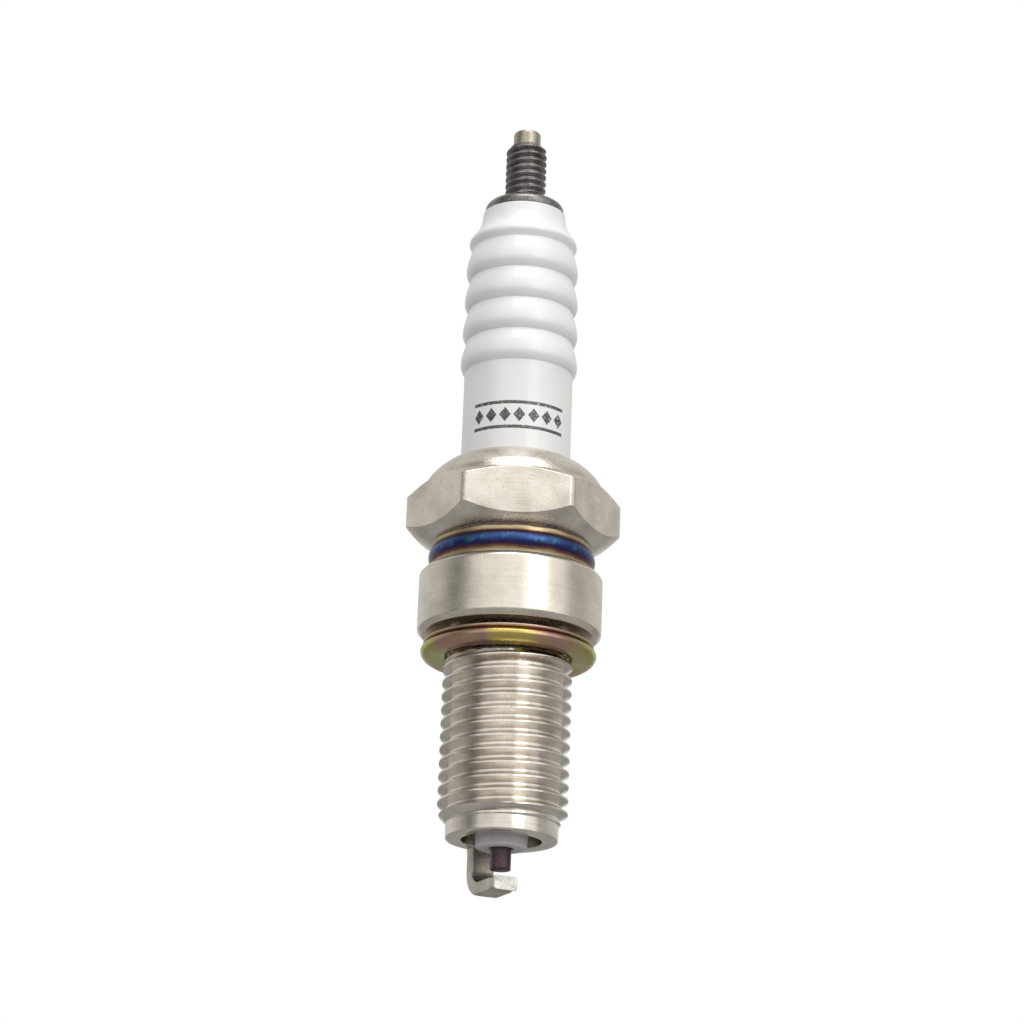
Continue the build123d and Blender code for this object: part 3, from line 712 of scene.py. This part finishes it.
# %% Glazed alumina with printed rails and diamonds
glaze, tree, shader = finish_named("glazed_alumina", Coat_Weight=0.8, Coat_Roughness=0.04, Roughness=0.42)
place = add(tree, "ShaderNodeTexCoord").outputs["Object"]
x, y, z = add(tree, "ShaderNodeSeparateXYZ", {0: place}).outputs
cloud = add(tree, "ShaderNodeTexNoise", {"Vector": place, "Scale": 260.0, "Detail": 2.0}).outputs["Fac"]
body = ramp(tree, cloud, [(0.3, (0.81, 0.81, 0.815)), (0.7, (0.86, 0.86, 0.855))])
front = maths(tree, "ARCTAN2", x, maths(tree, "MULTIPLY", y, -1.0))
along_print = maths(tree, "MULTIPLY", front, barrel_r)
mark_z = 20.2 * MM
from_mark = maths(tree, "ABSOLUTE", maths(tree, "SUBTRACT", z, mark_z))
half_wide = 4.7 * MM
within = maths(tree, "LESS_THAN", maths(tree, "ABSOLUTE", along_print), half_wide)
from_rail = maths(tree, "ABSOLUTE", maths(tree, "SUBTRACT", from_mark, 1.2 * MM))
rail = maths(tree, "LESS_THAN", from_rail, 0.16 * MM)
beat = maths(tree, "PINGPONG", along_print, 0.68 * MM)
slanted = maths(tree, "ADD", maths(tree, "DIVIDE", beat, 0.68), maths(tree, "MULTIPLY", from_mark, 1.15))
diamond = maths(tree, "LESS_THAN", slanted, 0.82 * MM)
ink_shape = maths(tree, "MULTIPLY", maths(tree, "MAXIMUM", rail, diamond), within)
ink_noise = add(tree, "ShaderNodeTexNoise", {"Vector": place, "Scale": 7000.0, "Detail": 3.0}).outputs["Fac"]
ink = maths(tree, "MULTIPLY", ink_shape, add(tree, "ShaderNodeMapRange", {
    "Value": ink_noise, "From Min": 0.3, "From Max": 0.42}).outputs[0])
ripple = add(tree, "ShaderNodeTexNoise", {"Vector": place, "Scale": 700.0, "Detail": 1.0}).outputs["Fac"]
feed(tree, shader, Base_Color=mixed(tree, maths(tree, "MULTIPLY", ink, 0.97), body, (0.02, 0.02, 0.022)),
     Normal=bump(tree, ripple, 0.35, 0.02 * MM))
bare, tree, shader = finish_named("bare_alumina")
place = add(tree, "ShaderNodeTexCoord").outputs["Object"]
grain = use_group(tree, metal_grain, Grains_per_metre=4000.0, Pits=0.12)
lilac = ramp(tree, grain["Cloud"], [(0.3, (0.62, 0.6, 0.61)), (0.7, (0.74, 0.72, 0.73))])
feed(tree, shader, Base_Color=lilac, Roughness=maths(tree, "MULTIPLY_ADD", grain["Grain"], 0.2, 0.6),
     Normal=bump(tree, grain["Grain"], 0.5, 0.02 * MM))
paint(insulator_skin, (-1, bare), (8 * MM, glaze))

# %% [markdown]
# ## The stud's phosphate, and the other small finishes
# The stud is dipped in manganese phosphate, a soft dark grey crystal coat, and its cut tip
# shows yellowish plate. The gasket wears iridescent zinc. The strap is satin nickel alloy with
# a brighter sheared end, and the centre electrode has darkened in use.


# %% Speckled finishes of one recipe
def speckled(name, dark, light, metallic, roughness, grain_depth, per_metre=5000.0, pits=0.2):
    """A finish clouded between two colours, with grain of that depth in its relief and shine."""
    material, tree, shader = finish_named(name, Metallic=metallic)
    grain = use_group(tree, metal_grain, Grains_per_metre=per_metre, Pits=pits)
    tone = maths(tree, "MULTIPLY_ADD", grain["Grain"], 0.5, maths(tree, "MULTIPLY", grain["Cloud"], 0.5))
    colour = ramp(tree, tone, [(0.36, dark), (0.64, light)])
    feed(tree, shader, Base_Color=mixed(tree, maths(tree, "MULTIPLY", grain["Pit"], 0.3), colour, dark),
         Roughness=maths(tree, "MULTIPLY_ADD", grain["Grain"], 0.25, roughness - 0.12),
         Normal=bump(tree, grain["Grain"], grain_depth, 0.025 * MM))
    return material


phosphate = speckled("phosphated_steel", (0.13, 0.125, 0.12), (0.36, 0.35, 0.34), 0.9, 0.3, 0.7)
plated_tip = speckled("plated_tip", (0.3, 0.28, 0.21), (0.52, 0.49, 0.39), 1.0, 0.3, 0.4)
strap_metal = speckled("strap_nickel", (0.34, 0.32, 0.27), (0.62, 0.59, 0.52), 1.0, 0.36, 0.7)
sheared_end = speckled("sheared_end", (0.5, 0.49, 0.46), (0.86, 0.84, 0.8), 1.0, 0.42, 1.0, 3500.0)
electrode_metal = speckled("electrode_nickel", (0.05, 0.035, 0.042), (0.12, 0.08, 0.09), 0.9, 0.4, 0.7)
paint(stud_skin, (-1, phosphate), (stud_end_z - 0.05 * MM, plated_tip))
paint(strap_skin, (-1, sheared_end), (-tip_reach + 0.02 * MM, strap_metal),
      along=(math.cos(strap_angle), math.sin(strap_angle), 0))
paint(rod_skin, (-1, electrode_metal))

# %% Iridescent zinc on the gasket
zinc, tree, shader = finish_named("zinc_plated_steel", Metallic=1.0)
place = add(tree, "ShaderNodeTexCoord").outputs["Object"]
x, y, z = add(tree, "ShaderNodeSeparateXYZ", {0: place}).outputs
grain = use_group(tree, metal_grain, Grains_per_metre=3600.0, Pits=0.15)
drift = maths(tree, "MULTIPLY", maths(tree, "SUBTRACT", grain["Cloud"], 0.5), 0.5)
sweep = maths(tree, "ABSOLUTE", maths(tree, "ARCTAN2", x, maths(tree, "MULTIPLY", y, -1.0)))
sweep = maths(tree, "ADD", maths(tree, "DIVIDE", sweep, math.pi), drift)
underside = ramp(tree, sweep, [
    (0.0, (0.56, 0.44, 0.14)), (0.07, (0.52, 0.36, 0.18)), (0.16, (0.44, 0.26, 0.23)),
    (0.28, (0.46, 0.36, 0.2)), (0.4, (0.42, 0.42, 0.1)), (0.5, (0.5, 0.5, 0.2)),
    (0.66, (0.5, 0.38, 0.2)), (0.82, (0.46, 0.3, 0.25)), (1.0, (0.5, 0.38, 0.2)),
])
flange_tone = ramp(tree, sweep, [
    (0.0, (0.62, 0.44, 0.38)), (0.35, (0.5, 0.38, 0.26)), (1.0, (0.58, 0.45, 0.34)),
])
on_flange = add(tree, "ShaderNodeMapRange", {
    "Value": z, "From Min": seam_z - 0.05 * MM, "From Max": seam_z + 0.05 * MM}).outputs[0]
feed(tree, shader, Base_Color=mixed(tree, on_flange, underside, flange_tone),
     Roughness=maths(tree, "MULTIPLY_ADD", grain["Grain"], 0.2, 0.18),
     Normal=bump(tree, grain["Grain"], 0.4, 0.02 * MM))
paint(gasket_skin, (-1, zinc))

# %% [markdown]
# ## The pieces sealed inside
# The copper core, the fused glass, the talc and the packing rings never show on a whole plug.
# They keep their CAD meshes, and get the finish that a sawn-open plug would show.

# %% Finishes for the sealed pieces
copper = speckled("core_copper", (0.5, 0.22, 0.12), (0.85, 0.45, 0.3), 1.0, 0.35, 0.4)
fused_glass = speckled("sealing_glass", (0.05, 0.05, 0.055), (0.16, 0.15, 0.15), 0.0, 0.35, 0.5)
wire_steel = speckled("bare_steel", (0.35, 0.35, 0.36), (0.6, 0.6, 0.6), 1.0, 0.35, 0.4)
pressed_talc = speckled("talc", (0.62, 0.6, 0.56), (0.8, 0.79, 0.75), 0.0, 0.8, 0.6)
sealed = {
    "copper_core": copper, "glass_seal": fused_glass, "talc_packing": pressed_talc,
    "inner_seat_washer": wire_steel, "lower_packing_ring": wire_steel, "upper_packing_ring": wire_steel,
}
for node, material in sealed.items():
    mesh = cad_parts[node].data
    mesh.materials.clear()
    mesh.materials.append(material)
print("sealed pieces with a finish:", sorted(sealed))

# %% [markdown]
# ## Camera
# The camera stands a little below the plug and looks up at it through a short telephoto lens,
# rolled by two degrees.

# %% Camera
CAMERA_AROUND = math.radians(-92.3)
CAMERA_UP = math.radians(-18.05)
CAMERA_ROLL = math.radians(2.13)
CAMERA_AWAY = 300.9 * MM
target = Vector((0, 0, 12.317 * MM))
toward = Vector((
    math.cos(CAMERA_UP) * math.cos(CAMERA_AROUND),
    math.cos(CAMERA_UP) * math.sin(CAMERA_AROUND),
    math.sin(CAMERA_UP),
))
camera = bpy.data.objects.new("camera", bpy.data.cameras.new("camera"))
bpy.context.scene.collection.objects.link(camera)
camera.data.lens = 113.4
camera.data.sensor_width = 36
camera.data.shift_x = -0.0015
camera.data.clip_start = 0.01
turn_to = toward.to_track_quat("Z", "Y").to_matrix().to_4x4()
stand = Matrix.Translation(target + toward * CAMERA_AWAY)
camera.matrix_world = stand @ turn_to @ Matrix.Rotation(CAMERA_ROLL, 4, "Z")
bpy.context.scene.camera = camera
print("camera at", [round(c, 4) for c in camera.location])

# %% [markdown]
# ## Floor and light
# A grey floor lies well below the plug and sends a little light up under it. The studio is a
# soft white surround with a darker stretch on each side, which is what draws the dark bands on
# bright metal. One tall soft box stands to the right of the camera and one hangs high above it.
# The camera itself sees plain white.

# %% Floor
floor_half = 1.5
floor_z = -0.13
floor_mesh = bpy.data.meshes.new("floor")
signs = [(-1, -1), (1, -1), (1, 1), (-1, 1)]
floor_mesh.from_pydata([(floor_half * i, floor_half * j, floor_z) for i, j in signs], [], [(0, 1, 2, 3)])
floor = bpy.data.objects.new("floor", floor_mesh)
bpy.context.scene.collection.objects.link(floor)
floor_finish, tree, shader = finish_named("grey_floor", Roughness=0.8)
paper = add(tree, "ShaderNodeTexNoise", {
    "Vector": add(tree, "ShaderNodeTexCoord").outputs["Object"], "Scale": 40.0}).outputs["Fac"]
feed(tree, shader, Base_Color=ramp(tree, paper, [(0.3, (0.35, 0.35, 0.35)), (0.7, (0.38, 0.38, 0.38))]))
floor_mesh.materials.append(floor_finish)

# %% Surround
world = bpy.data.worlds.new("studio")
bpy.context.scene.world = world
world.use_nodes = True
tree = world.node_tree
sky = tree.nodes["Background"]
direction = add(tree, "ShaderNodeTexCoord").outputs["Generated"]
right_way = (math.cos(CAMERA_AROUND + math.pi / 2), math.sin(CAMERA_AROUND + math.pi / 2), 0)
camera_way = (math.cos(CAMERA_AROUND), math.sin(CAMERA_AROUND), 0)
rightward, frontward = [
    add(tree, "ShaderNodeVectorMath", {0: direction, 1: way}, operation="DOT_PRODUCT").outputs["Value"]
    for way in (right_way, camera_way)
]
bearing = maths(tree, "MULTIPLY_ADD", maths(tree, "ARCTAN2", rightward, frontward), 0.5 / math.pi, 0.5)
around_stops = [
    (-180, 0.55), (-130, 0.6), (-100, 0.5), (-82, 0.3), (-70, 0.18), (-58, 0.35), (-45, 0.8), (-20, 0.95),
    (0, 0.95), (25, 0.9), (50, 1.0), (57, 1.0), (70, 0.85), (80, 0.4), (95, 0.4), (130, 0.55), (180, 0.6),
]
surround = ramp(tree, bearing, [(0.5 + a / 360, (v, v * 0.985, v * 0.96)) for a, v in around_stops], "EASE")
brighter = add(tree, "ShaderNodeVectorMath", {0: surround, "Scale": 1.2}, operation="SCALE").outputs[0]
seen = add(tree, "ShaderNodeLightPath").outputs["Is Camera Ray"]
tree.links.new(mixed(tree, seen, brighter, (1, 1, 1)), sky.inputs["Color"])
sky.inputs["Strength"].default_value = 1.0


# %% Soft boxes
def soft_box(name, around, up, away, width, height, power):
    """An area light at that bearing from the camera and height in degrees, turned to the plug."""
    light = bpy.data.lights.new(name, "AREA")
    light.shape = "RECTANGLE"
    light.size = width
    light.size_y = height
    light.energy = power
    lamp = bpy.data.objects.new(name, light)
    bearing = CAMERA_AROUND + math.radians(around)
    up = math.radians(up)
    way = Vector((math.cos(bearing) * math.cos(up), math.sin(bearing) * math.cos(up), math.sin(up)))
    turn_back = way.to_track_quat("Z", "Y").to_matrix().to_4x4()
    lamp.matrix_world = Matrix.Translation(target + way * away) @ turn_back
    bpy.context.scene.collection.objects.link(lamp)
    return lamp


soft_box("right_box", around=33, up=22, away=0.6, width=0.24, height=0.4, power=0.42)
soft_box("top_box", around=10, up=70, away=0.6, width=0.4, height=0.4, power=1.4)
bpy.context.scene.view_settings.view_transform = "Standard"
bpy.context.scene.view_settings.look = "None"
